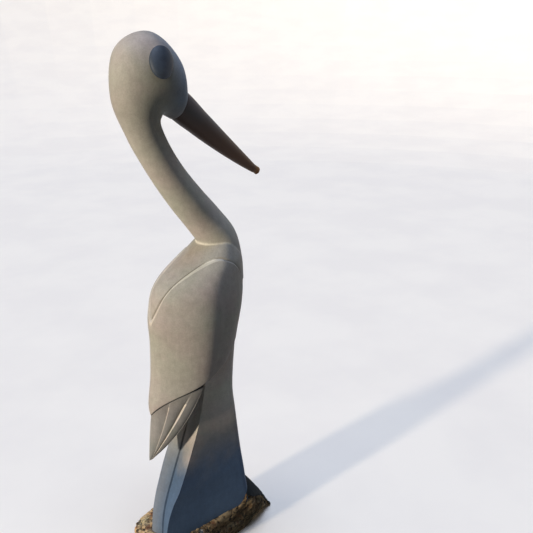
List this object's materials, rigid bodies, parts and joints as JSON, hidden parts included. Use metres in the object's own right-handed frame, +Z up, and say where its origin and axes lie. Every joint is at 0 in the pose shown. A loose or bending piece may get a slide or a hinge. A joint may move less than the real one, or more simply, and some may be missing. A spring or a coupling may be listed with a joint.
{
  "type": "stone stork sculpture",
  "caption": "Garden sculpture of a standing stork with a long down-pointing bill, folded wings and a fluted tail, carved with its rough base from one stone.",
  "frame": {"origin": "on the underside of the base, below the bird's body", "axes": "+Z up, +X the way the bird and its bill face, +Y the bird's left; the bird is mirrored about the plane Y = 0"},
  "size_m": [0.4197, 0.1986, 1.315],
  "materials": {
    "stone": "smooth rubbed stone; polished dark bill and eyes; rough brown rind left on the base"
  },
  "bodies": {
    "root": {"stork_carving": "stone"}
  },
  "joints": []
}
